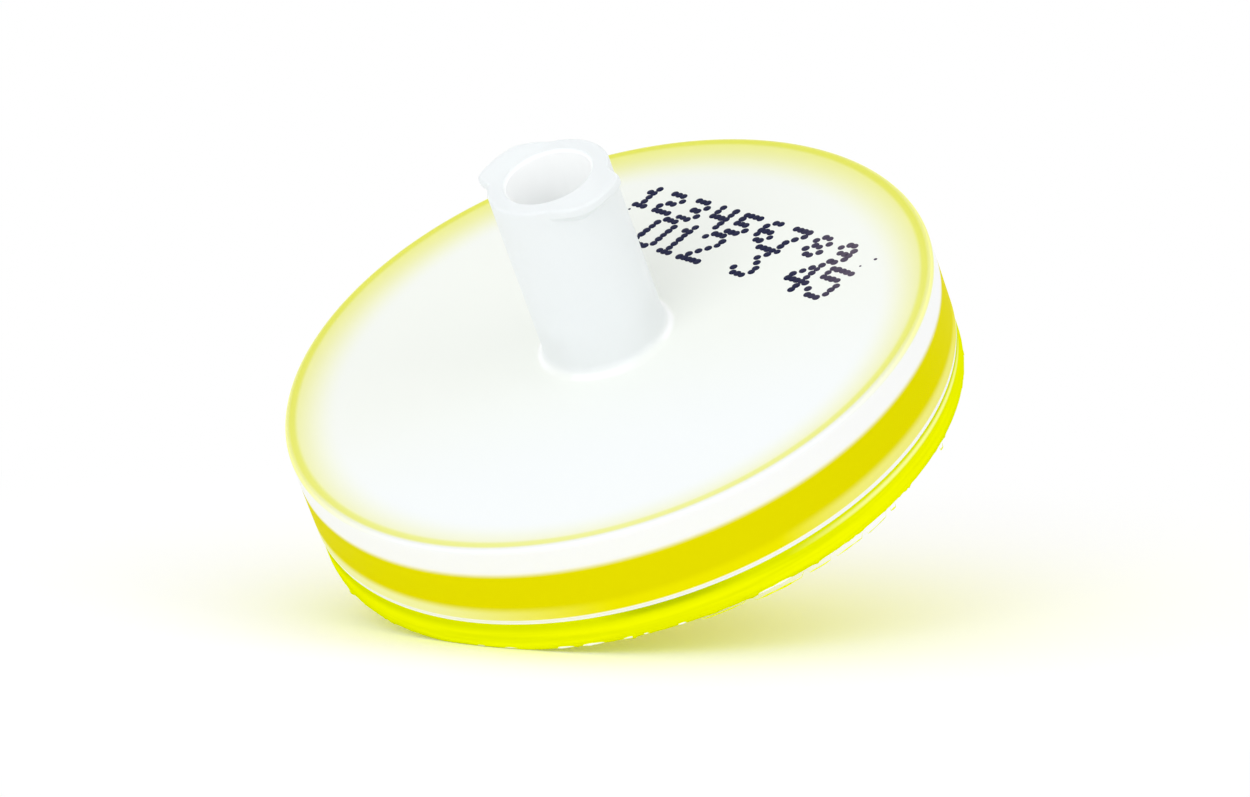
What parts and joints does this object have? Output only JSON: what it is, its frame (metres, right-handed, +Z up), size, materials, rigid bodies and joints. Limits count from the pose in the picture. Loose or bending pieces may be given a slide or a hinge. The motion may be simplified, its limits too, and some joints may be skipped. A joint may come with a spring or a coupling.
{
  "type": "syringe filter",
  "caption": "Round disc filter for a syringe, with a clear inlet half carrying a female Luer lock, a tinted outlet half with a slip nozzle, and a filter layer between them.",
  "frame": {"origin": "on the floor, under the middle of the filter's box as it lies", "axes": "+Z up; the filter's axis leans in the XZ plane, its inlet end towards -X and its nozzle towards +X; Y runs across the disc"},
  "size_m": [0.031, 0.033, 0.0237],
  "materials": {
    "clear_shell": "gloss",
    "tinted_shell": "gloss",
    "membrane": "matte",
    "prefilter": "matte"
  },
  "bodies": {
    "root": {"outlet_shell": "tinted_shell", "membrane": "membrane", "prefilter": "prefilter", "inlet_shell": "clear_shell"}
  },
  "joints": []
}
